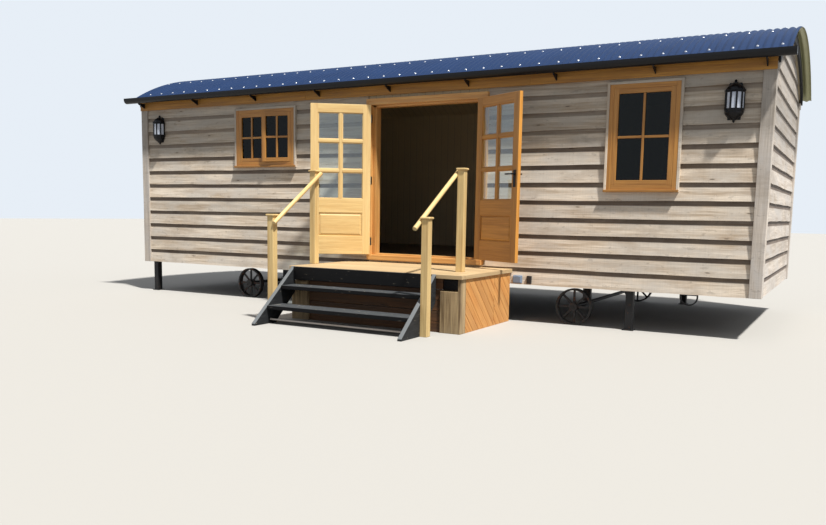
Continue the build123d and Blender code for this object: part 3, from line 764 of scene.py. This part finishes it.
def door_leaf(name, hang, side, body, node, finish):
    """One leaf, made shut with its hinge at x 0 and swung to where it hangs."""
    leaf = Gathered()
    y0, y1 = stand_off, stand_off + leaf_thick

    def member(x0, x1, z0, z1, run, inset=0.0, ease=0.003, tone=None):
        a, b = sorted((side * x0, side * x1))
        leaf.fill((a, y0 + inset, z0), (b, y1 - inset, z1), run, ease, place=hang, tone=tone)

    def beads(x0, x1, z0, z1, inset, ease):
        """Beads round a pane or panel, let into what holds them."""
        for z in (z0 - tongue, z1 - bead):
            member(x0, x1, z, z + bead + tongue, "x", inset, ease)
        for x in (x0 - tongue, x1 - bead):
            member(x, x + bead + tongue, z0, z1, "z", inset, ease)

    def painted_lit_edge(co):
        """The lock edge of the right leaf is painted pale: a painted highlight where the light falls on it.
        """
        return 3.5 if side < 0 and co.z > stile - 0.001 else 0.5

    x0, x1 = pin_gap, pin_gap + leaf_width
    inner0, inner1 = x0 + stile, x1 - stile
    panel_low = leaf_low + bottom_rail
    panel_high = panel_low + panel_height
    glass_low = panel_high + lock_rail
    glass_high = leaf_high - top_rail
    member(x0, inner0, leaf_low, leaf_high, "z")
    member(inner1, x1, leaf_low, leaf_high, "z", tone=painted_lit_edge)
    for z0, z1 in ((leaf_low, panel_low), (panel_high, glass_low), (glass_high, leaf_high)):
        member(inner0 - tongue, inner1 + tongue, z0, z1, "x", 0.0006)
    pane_width = (inner1 - inner0 - bar) / 2
    pane_height = (glass_high - glass_low - 2 * bar) / 3
    member(inner0 + pane_width, inner0 + pane_width + bar, glass_low, glass_high, "z", 0.003, 0.006)
    for row in (1, 2):
        z = glass_low + row * pane_height + (row - 1) * bar
        for column in (0, 1):
            x = inner0 + column * (pane_width + bar)
            member(x - tongue, x + pane_width + tongue, z, z + bar, "x", 0.003, 0.006)
    for column in (0, 1):
        for row in (0, 1, 2):
            x = inner0 + column * (pane_width + bar)
            z = glass_low + row * (pane_height + bar)
            beads(x, x + pane_width, z, z + pane_height, 0.010, 0.004)

    # The panel: a sunk margin, then a slope up to the raised field, on both faces
    field = sawn(inner1 - inner0 + 2 * tongue, panel_thick, panel_height + 2 * tongue, 0)
    for facing in (-1, 1):
        for margin, lift in ((0.012, -0.009), (0.042, 0.013)):
            flat = max((f for f in field.faces if f.normal.y * facing > 0.9), key=lambda f: f.calc_area())
            bmesh.ops.inset_region(field, faces=[flat], thickness=margin, depth=0)
            bmesh.ops.translate(field, verts=flat.verts, vec=(0, facing * lift, 0))
    left_edge = min(side * (inner0 - tongue), side * (inner1 + tongue))
    leaf.put(field, hang @ at(left_edge, y0 + (leaf_thick - panel_thick) / 2, panel_low - tongue))
    beads(inner0, inner1, panel_low, panel_high, 0.004, 0.003)
    leaf.piece(name, finish, "joinery_timber", body, node)


def pane_glass(name, seen_through, shine):
    """Float glass: tinted where looked through, mirror bright towards grazing views."""
    material, start, inputs = new_finish(name)
    see_through = start.node("ShaderNodeBsdfTransparent", {}, {"Color": seen_through})
    mirror_shine = start.node("ShaderNodeBsdfGlossy", {},
                              {"Color": (0.95, 0.97, 1.0, 1), "Roughness": 0.02})
    edge_on = start.node("ShaderNodeLayerWeight", {}, {"Blend": 0.5}, "Facing") ** 5 * 0.96 + 0.045
    pane = start.node("ShaderNodeMixShader", {}, {0: edge_on * shine, 1: see_through, 2: mirror_shine})
    feed(material.node_tree.nodes["Material Output"].inputs, Surface=pane)
    return material


# The leaves are lit and shaded copies of one oiled oak: the left painted pale as if in light, the right
# painted deep as if in shade
lit_leaf_oak = oiled_timber("lit_leaf_oak", (236, 208, 146), (208, 170, 108), (224, 194, 142), spread=0.07)
shade_oak = oiled_timber("shade_oak", (198, 142, 66), (152, 100, 38), (172, 120, 54))
door_leaf("left_leaf_timbers", left_hang, 1, "left_door", "left_door_leaf", lit_leaf_oak)
door_leaf("right_leaf_timbers", right_hang, -1, "right_door", "right_door_leaf", shade_oak)
finish_nodes(pane_glass("door_pane_glass", (0.82, 0.88, 0.89, 1), 1.8), "left_door_glass",
             "right_door_glass")
hinge_steel = painted_metal("hinge_steel", (176, 172, 164), (120, 108, 96), 0.34, 260, 0.0001, chips=0.04,
                            metallic=0.9)
finish_nodes(hinge_steel, "left_door_hinges", "right_door_hinges", "door_hinge_pins")
finish_nodes(black_metal, "right_door_handle")


# ---------------- Windows
# Side-hung casements in linings let into the wall. The outer trim is thin oak like the boards,
# the sashes are oiled like the doors, and the right half of the left pair stands ajar.

sash = 0.052
sash_thick = 0.044
lining = 0.034
proud = front - 0.012
sash_face = proud + 0.004
glazing_bar = 0.026
bead_wide = 0.028
sill_proud = 0.018
sill_thick = 0.026
half_gap = 0.00025
ajar_angle = math.radians(6.3)
window_frames = Gathered()
outer_trims = Gathered()
casements = Gathered()


def make_sash(x0, x1, z0, z1, place=lying):
    """Four members and a cross of glazing bars, each side of the pane."""
    y0, y1 = sash_face, sash_face + sash_thick
    for a, b in ((x0, x0 + sash), (x1 - sash, x1)):
        casements.fill((a, y0, z0), (b, y1, z1), "z", place=place)
    for a, b in ((z0, z0 + sash), (z1 - sash, z1)):
        casements.fill((x0 + sash - tongue, y0 + 0.0006, a), (x1 - sash + tongue, y1 - 0.0006, b),
                       place=place)
    xm, zm = (x0 + x1) / 2, (z0 + z1) / 2
    half = glazing_bar / 2
    y0, y1 = y0 + 0.004, y1 - 0.004
    casements.fill((xm - half, y0, z0 + sash), (xm + half, y1, z1 - sash), "z", 0.005, place=place)
    for a, b in ((x0 + sash, xm - half), (xm + half, x1 - sash)):
        casements.fill((a - 0.001, y0, zm - half), (b + 0.001, y1, zm + half), "x", 0.005, place=place)


window_oak = oiled_timber("window_oak", (200, 144, 72), (142, 90, 36), (164, 120, 66), roughness=0.45)
inner = window_trim - bead_wide
for x0, x1, z0, z1 in (left_window, right_window):
    low_edge = z0 - window_trim
    for a, b in ((x0 - window_trim, x0 - inner), (x1 + inner, x1 + window_trim)):
        outer_trims.fill((a, proud, low_edge), (b, wall_face, z1 + window_trim), "z")
    outer_trims.fill((x0 - inner, proud + 0.0005, z1 + inner), (x1 + inner, wall_face, z1 + window_trim))
    for a, b in ((x0 - inner, x0 + lining), (x1 - lining, x1 + inner)):
        window_frames.fill((a, proud + 0.003, low_edge), (b, wall_inner, z1 + inner), "z")
    for a, b in ((low_edge, z0 + lining), (z1 - lining, z1 + inner)):
        window_frames.fill((x0 + lining, proud + 0.0035, a), (x1 - lining, wall_inner, b))
    window_frames.fill((x0 - window_trim, proud - sill_proud, low_edge),
                       (x1 + window_trim, proud + 0.004, low_edge + sill_thick), "x", 0.004, tone=-1.0)
edge = lining + 0.0005
x0, x1, z0, z1 = left_window
centre = (x0 + x1) / 2
ajar = at(x1 - edge, sash_face, 0) @ swing(ajar_angle, "Z") @ at(edge - x1, -sash_face, 0)
make_sash(x0 + edge, centre - half_gap, z0 + edge, z1 - edge)
make_sash(centre + half_gap, x1 - edge, z0 + edge, z1 - edge, ajar)
x0, x1, z0, z1 = right_window
make_sash(x0 + edge, x1 - edge, z0 + edge, z1 - edge)
window_frames.piece("window_lining_timbers", window_oak, "joinery_timber", stands_for="window_frames")
outer_trims.piece("window_outer_trims", weathered_oak, "weathered_oak")
casements.piece("casement_timbers", window_oak, "joinery_timber", stands_for="window_casements")
# The panes are tinted dark green so that the room behind reads dark: painted shade
finish_nodes(pane_glass("window_pane_glass", (0.16, 0.22, 0.19, 1), 0.35), "window_glass")


# ---------------- Wall lanterns
# Cast lanterns of five flat sides on a wall plate: glazing bars between two bands, a domed roof
# and a bowl with finials, black, with frosted panes behind the bars.

lantern_places = (-half_length + 0.380, half_length - 0.374)
plate_wide, plate_thick, plate_tall, plate_drop = 0.130, 0.024, 0.372, 0.098
plate_face = wall_face - plate_thick
lantern_y = plate_face - 0.014
cage_low, cage_high = (corner.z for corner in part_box("lantern_glass"))
lantern_sides = 10
side_turn = 2 * math.pi / lantern_sides
bar_deep, bar_wide, bar_reach = 0.012, 0.019, 0.0835
band_deep, band_wide, band_reach = 0.008, 0.050, 0.0815
rim = 0.103

# Half outlines of the two castings, from the axis out and back to it, as radius and height
dome = ((0, 0.0), (rim - 0.006, 0.0), (rim, 0.004), (rim, 0.009), (0.094, 0.013), (0.091, 0.024),
        (0.084, 0.036), (0.073, 0.050), (0.058, 0.063), (0.042, 0.074), (0.030, 0.080), (0.028, 0.086),
        (0.014, 0.089), (0.011, 0.098), (0.015, 0.104), (0.012, 0.110), (0.005, 0.117), (0, 0.118))
bowl = ((0, 0.0), (0.096, 0.0), (0.096, -0.008), (0.091, -0.013), (0.091, -0.030), (0.085, -0.044),
        (0.073, -0.058), (0.058, -0.071), (0.042, -0.083), (0.028, -0.092), (0.024, -0.098),
        (0.012, -0.101), (0.013, -0.110), (0.008, -0.120), (0, -0.128))


def turned(profile):
    """Ten-sided body spun from its profile, cut flat where it meets the wall plate."""
    body = bmesh.new()
    spots = [body.verts.new((radius, 0, height)) for radius, height in profile]
    for one, other in zip(spots, spots[1:]):
        body.edges.new((one, other))
    bmesh.ops.spin(body, geom=body.verts[:] + body.edges[:], cent=(0, 0, 0), axis=(0, 0, 1),
                   angle=2 * math.pi, steps=lantern_sides, use_merge=True)
    bmesh.ops.remove_doubles(body, verts=body.verts[:], dist=0.0002)
    saw_through(body, (0, plate_face - lantern_y + 0.001, 0), (0, 1, 0), drop=True, near=0.00001)
    bmesh.ops.recalc_face_normals(body, faces=body.faces)
    return body


lanterns = Gathered()
for x in lantern_places:
    stand = at(x, lantern_y, 0)
    lanterns.join(turned(dome), stand @ at(0, 0, cage_high))
    lanterns.join(turned(bowl), stand @ at(0, 0, cage_low))
    lanterns.join(sawn(plate_wide, plate_thick, plate_tall, 0.006),
                  at(x - plate_wide / 2, plate_face, cage_low - plate_drop))
    for index in range(6):
        corner = stand @ swing(-index * side_turn, "Z")
        lanterns.join(sawn(bar_deep, bar_wide, cage_high - cage_low + 0.004),
                      corner @ at(bar_reach, -bar_wide / 2, cage_low - 0.002))
        spur = bmesh.new()
        bmesh.ops.create_cone(spur, segments=8, radius1=0.006, radius2=0.0015, depth=0.020, cap_ends=True)
        lanterns.join(spur, corner @ at(rim - 0.005, 0, cage_high + 0.014))
        if index < 5:
            flat = stand @ swing(-(index + 0.5) * side_turn, "Z")
            for z, tall in ((cage_low - 0.002, 0.016), (cage_high - 0.012, 0.014)):
                lanterns.join(sawn(band_deep, band_wide, tall, 0.002),
                              flat @ at(band_reach, -band_wide / 2, z))
cast_black = painted_metal("cast_black", (8, 9, 14), (34, 34, 38), 0.32, 160, 0.0003, chips=0.02, gloss=0.2)
lanterns.piece("lantern_castings", cast_black, "black_metal", stands_for="wall_lanterns", smooth=0.5)

frosted, start, inputs = new_finish("frosted_pane")
mottle = start.place().noise(55, 3)
feed(inputs, Base_Color=mottle.mix(colour(168, 182, 206), colour(222, 226, 234)),
     Roughness=mottle * 0.2 + 0.3, Normal=bumped(mottle, 0.0006))
finish_nodes(frosted, "lantern_glass")


# ---------------- Outside socket
# Weatherproof twin socket and a small outlet on the lowest board, moulded in grey and black
# plastic, with a hinged lid.

socket_x, socket_z = 1.703, 0.453
box_wide, box_tall = 0.109, 0.093
outlet_x, outlet_wide, outlet_tall = socket_x + 0.167, 0.059, 0.092
grey_plastic = painted_metal("grey_plastic", (120, 136, 158), (96, 108, 124), 0.42, 220, 0.0002, chips=0.0)
black_plastic = painted_metal("black_plastic", (32, 32, 34), (50, 50, 52), 0.4, 220, 0.0002, chips=0.0)
fittings = Gathered()
fittings.fill((socket_x, front - 0.004, socket_z), (socket_x + box_wide, wall_face, socket_z + box_tall),
              "x", 0.008)
fittings.fill((socket_x + 0.004, front - 0.024, socket_z + 0.006),
              (socket_x + box_wide - 0.004, front - 0.006, socket_z + 0.086), "x", 0.007)
fittings.fill((socket_x + 0.030, front - 0.022, socket_z + 0.082),
              (socket_x + box_wide - 0.030, front - 0.008, socket_z + 0.092))
fittings.piece("weatherproof_socket", grey_plastic, "grey_plastic", stands_for="outside_socket")
outlet = Gathered()
outlet.fill((outlet_x, front - 0.002, socket_z),
            (outlet_x + outlet_wide, wall_face, socket_z + outlet_tall), "x", 0.006)
outlet.piece("small_outlet", black_plastic, "grey_plastic")


# ---------------- Landing
# Softwood boards laid along the hut with nosing boards round the edge, on reused sleepers at
# the front corners and short posts at the wall. Diagonal boards close both sides, and dark
# boards the front, behind the steps, stained and painted darker still as shade.

nosing = 0.095
deck_rows = 9
notch_deep, notch_high, notch_edge = 0.070, 0.130, 0.030
sleeper_wide, sleeper_deep = 0.240, 0.125
skin = 0.022
board_wide = 0.092
board_long = 1.6
board_gap = 0.004
front_rows = 5
pale_softwood = timber("pale_softwood", (228, 201, 142), (186, 150, 94), (204, 178, 126), (132, 84, 42),
                       greying=0.35, streaks=0.9, spread=0.08, roughness=0.6, relief=0.0009, clear=0.80)
deck_softwood = timber("deck_softwood", (204, 180, 140), (170, 140, 98), (186, 164, 128), (132, 84, 42),
                       greying=0.4, streaks=0.85, spread=0.10, roughness=0.66, relief=0.0009)
side_softwood = timber("side_softwood", (226, 168, 98), (188, 124, 62), (196, 150, 96), (112, 66, 30),
                       greying=0.35, streaks=0.85, spread=0.12, roughness=0.66, relief=0.0009, clear=0.88)
sleeper_timber = timber("sleeper_timber", (196, 170, 128), (92, 70, 44), (156, 138, 108), (50, 38, 26),
                        greying=0.6, streaks=0.9, spread=0.08, roughness=0.85, relief=0.0022, saw=0.15)
stained_and_shaded_softwood = timber("stained_and_shaded_softwood", (112, 74, 42), (66, 42, 24), (84, 64, 44), (40, 26, 16),
                          greying=0.4, streaks=0.85, spread=0.14, roughness=0.7, relief=0.0009)

deck_low, deck_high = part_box("landing_deck")
deck_boards = Gathered()
deck_boards.fill(deck_low, (deck_high.x, deck_low.y + nosing, deck_high.z), "x", 0.004)
for x0, x1 in ((deck_low.x, deck_low.x + nosing), (deck_high.x - nosing, deck_high.x)):
    deck_boards.fill((x0, deck_low.y + nosing + 0.001, deck_low.z), (x1, deck_high.y, deck_high.z),
                     "y", 0.004)
inside = nosing + 0.002
pitch = (deck_high.y - deck_low.y - inside) / deck_rows
for index in range(deck_rows):
    y = deck_low.y + inside + index * pitch
    deck_boards.fill((deck_low.x + inside, y + 0.001, deck_low.z),
                     (deck_high.x - inside, y + pitch - 0.002, deck_high.z - 0.0008))
deck_boards.piece("landing_boards", deck_softwood, "pale_softwood", stands_for="landing_deck")

posts_low, posts_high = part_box("landing_posts")
sleepers = Gathered()
for x0 in (posts_low.x, posts_high.x - sleeper_wide):
    x1, y0, top = x0 + sleeper_wide, posts_low.y, posts_high.z
    y1 = y0 + sleeper_deep
    run = Vector((random.uniform(0, 30), 0, 0))
    tone = random.random()
    for low, high in (((x0, y0, 0), (x1, y1, top - notch_high)),
                      ((x0, y0 + notch_deep, top - notch_high - 0.004), (x1 - notch_edge, y1, top)),
                      ((x1 - notch_edge - 0.004, y0, top - notch_high - 0.004), (x1, y1, top))):
        sleepers.fill(low, high, "z", 0.004, 6, tone=tone,
                      grain=run + Vector((low[2], low[1] - y0, x1 - high[0])))
for x0 in (posts_low.x + skin, posts_high.x - skin - sleeper_deep):
    sleepers.fill((x0, front - sleeper_deep, 0), (x0 + sleeper_deep, front, posts_high.z), "z", 0.004)
sleepers.piece("sleeper_posts", sleeper_timber, "sleeper_timber", stands_for="landing_posts")

sides_low, sides_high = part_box("landing_sides")
side_boards = Gathered()
sleeper_back = posts_low.y + sleeper_deep
panel_joint = sleeper_back + (front - sleeper_back) * 0.62
sloped = across @ swing(math.radians(45), "Y")
for x0 in (sides_low.x, sides_high.x - skin):
    for y0, y1 in ((sleeper_back, panel_joint - 0.003), (panel_joint + 0.003, front)):
        start_y = y0 - posts_high.z - 0.30
        while start_y < y1:
            board = sawn(board_long, skin, board_wide)
            board.transform(at(x0 + skin, start_y, posts_high.z + 0.10) @ sloped @ at(-0.1, 0, 0))
            for place, facing in (((0, y0, 0), (0, -1, 0)), ((0, y1, 0), (0, 1, 0)),
                                  ((0, 0, 0.001), (0, 0, -1)), ((0, 0, posts_high.z), (0, 0, 1))):
                if board.verts:
                    saw_through(board, place, facing, drop=True)
            if board.verts:
                board.transform(sloped.inverted())
                side_boards.put(board, sloped)
            else:
                board.free()
            start_y += (board_wide + board_gap) * math.sqrt(2)
side_boards.piece("landing_side_boards", side_softwood, "pale_softwood", stands_for="landing_sides")

# Dark brown boards behind the steps: part stain, part painted shade
landing_front = Gathered()
tall = posts_high.z / front_rows
for row in range(front_rows):
    landing_front.fill((posts_low.x + sleeper_wide - 0.02, sides_low.y + 0.001, row * tall + 0.001),
                       (posts_high.x - sleeper_wide + 0.02, sides_low.y + 0.021, (row + 1) * tall - 0.003))
landing_front.piece("landing_front_boards", stained_and_shaded_softwood, "pale_softwood")


# ---------------- Steps
# A flight of thick treads housed between sawn stringers, brushed black. Tops and the sloping
# top edges of the stringers are painted lighter bluish grey, as dust and painted sheen, and the paint has
# worn to bare grey timber in small chips.

black_timber, start, inputs = new_finish("worn_black_timber")
run = start.mark("grain")
dust_and_sheen_mark, rubbed = (start.mark("looks").part(index) for index in (0, 1))
streak = run.scaled((1.1, 24, 24)).noise(1.0, 5, 0.62)
pore = run.scaled((7, 260, 260)).noise(1.0, 3, 0.6)
scuff = run.scaled((9, 40, 40)).noise(1.0, 5, 0.7)
chip = run.scaled((13, 60, 60)).noise(1.0, 3, 0.6).rise(0.67, 0.71) * rubbed
# Dust and painted sheen: the black turns bluish grey where the mark is high
dust_and_sheen = (dust_and_sheen_mark * (0.45 + scuff * 0.9) * (0.7 + streak * 0.6)).rise(0.05, 1.0)
painted = dust_and_sheen.mix(colour(13, 13, 15), colour(108, 112, 115))
bare_timber = streak.mix(colour(150, 140, 124), colour(205, 194, 172))
feed(inputs, Base_Color=chip.mix(painted, bare_timber), Roughness=dust_and_sheen * 0.3 + 0.50,
     Specular_IOR_Level=0.12, Normal=bumped(streak * 0.5 + pore * 0.5 - chip * 0.3, 0.0012))

steps_low, steps_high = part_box("step_stringers")
stringer_thick = 0.046
stringer_foot = 0.360
stringer_head = 0.300
toe = 0.025
slope = (deck_low.y - steps_low.y) / (deck_high.z - toe)
outline = [(steps_low.y, 0), (steps_low.y + stringer_foot, 0), (deck_low.y, deck_high.z - stringer_head),
           (deck_low.y, deck_high.z), (steps_low.y, toe)]
stringers = Gathered()
for x0 in (steps_low.x, steps_high.x - stringer_thick):
    cheek = bmesh.new()
    cheek.faces.new([cheek.verts.new((y, 0, z)) for y, z in outline])
    pushed = bmesh.ops.extrude_face_region(cheek, geom=cheek.faces[:])["geom"]
    bmesh.ops.translate(cheek, verts=[one for one in pushed if isinstance(one, bmesh.types.BMVert)],
                        vec=(0, -stringer_thick, 0))
    bmesh.ops.recalc_face_normals(cheek, faces=cheek.faces)
    ease_edges(cheek, cheek.edges[:], 0.004)
    saw_through(cheek, (steps_low.y + 0.010, 0, toe), (-1, 0, slope))
    # The sloping top edge of each stringer is painted light, as dust and a painted highlight
    stringers.put(cheek, at(x0, 0, 0) @ across, painted_shade_and_wear=lambda co: 0.6,
                  tone=lambda co: 1.7 if (co.z - toe) * slope > co.x - steps_low.y - 0.009 else 0.30)
stringers.piece("stringer_cheeks", black_timber, "black_timber", stands_for="step_stringers")

tread_thick = 0.042
tread_going = 0.275
nose = 0.014
head_board_thick, head_board_tall = 0.030, 0.150
treads = Gathered()


def black_member(low, high, ease, top_dust_and_sheen, front_dust_and_sheen):
    """Tread or board, its top painted lighter as dust and painted sheen, and worn to bare timber in chips,
    most on its top.
    """
    length, depth, height = (b - a for a, b in zip(low, high))
    treads.put(sawn(length, depth, height, ease, 8), at(*low),
               painted_shade_and_wear=lambda co: 1.0 if co.z > height - 0.0005 else 0.3,
               tone=lambda co: top_dust_and_sheen if co.z > height - 0.0005 else front_dust_and_sheen)


x0, x1 = steps_low.x + stringer_thick, steps_high.x - stringer_thick
for index in (1, 2):
    z = index * deck_high.z / 3
    y = deck_low.y - (deck_high.z - z) * slope - nose
    black_member((x0, y, z - tread_thick), (x1, y + tread_going, z), 0.005, 0.50, 0.08)
head_top = deck_high.z - 0.004
black_member((x0, deck_low.y - head_board_thick, head_top - head_board_tall), (x1, deck_low.y, head_top),
             0.004, 0.6, 0.10)
# Black blocks in the notches of both sleepers
for notch_x in (posts_low.x, posts_high.x - sleeper_wide):
    black_member((notch_x + 0.030, posts_low.y + 0.008, posts_high.z - 0.118),
                 (notch_x + sleeper_wide - notch_edge - 0.004, posts_low.y + 0.068, posts_high.z - 0.002),
                 0.012, 0.1, 0.05)
treads.piece("step_treads", black_timber, "black_timber", stands_for="step_boards")
# Finished in pale silvered oak so that the bar shows as a light line: a painted highlight of its lit top
# edge
foot_bar = Gathered()
foot_bar.fill((x0, steps_low.y + 0.255, 0.040), (x1, steps_low.y + 0.273, 0.058))
foot_bar.piece("foot_bar_timber", silvered_oak, "black_timber")


# ---------------- Handrails
# Planed softwood posts with flat rounded caps, each pair carrying a round rail notched into
# its inner side.

rail_wide = 0.080
rail_radius = 0.024
cap_lap, cap_thick = 0.014, 0.022
rail_posts = Gathered()
for x0 in (steps_low.x - rail_wide, steps_high.x):
    for reach, z0, z1 in ((0.890, deck_high.z, 1.717), (1.680, 0.0, 1.190)):
        y = front - reach
        rail_posts.fill((x0, y, z0), (x0 + rail_wide, y + rail_wide, z1), "z", 0.004)
        rail_posts.fill((x0 - cap_lap, y - cap_lap, z1 + 0.0002),
                        (x0 + rail_wide + cap_lap, y + rail_wide + cap_lap, z1 + cap_thick), "x", 0.007)
rail_posts.piece("rail_post_timbers", pale_softwood, "pale_softwood", stands_for="handrail_posts")

# Each rail from its foot to its top, as reach out from the wall and height
rails = Gathered()
for x, foot, top in ((steps_low.x + 0.0243, (1.690, 1.112), (0.800, 1.702)),
                     (steps_high.x - 0.0243, (1.775, 1.092), (0.815, 1.705))):
    low = Vector((x, front - foot[0], foot[1]))
    rise = Vector((x, front - top[0], top[1])) - low
    rail = bmesh.new()
    bmesh.ops.create_cone(rail, segments=24, radius1=rail_radius, radius2=rail_radius, depth=rise.length,
                          cap_ends=True, matrix=at(rise.length / 2, 0, 0) @ swing(math.pi / 2, "Y"))
    rims = [edge for edge in rail.edges if abs(edge.verts[0].co.x - edge.verts[1].co.x) < 0.001]
    ease_edges(rail, rims, 0.004)
    rails.put(rail, at(*low) @ rise.to_track_quat("X", "Z").to_matrix().to_4x4())
rails.piece("round_rails", pale_softwood, "pale_softwood", stands_for="handrails", smooth=0.7)
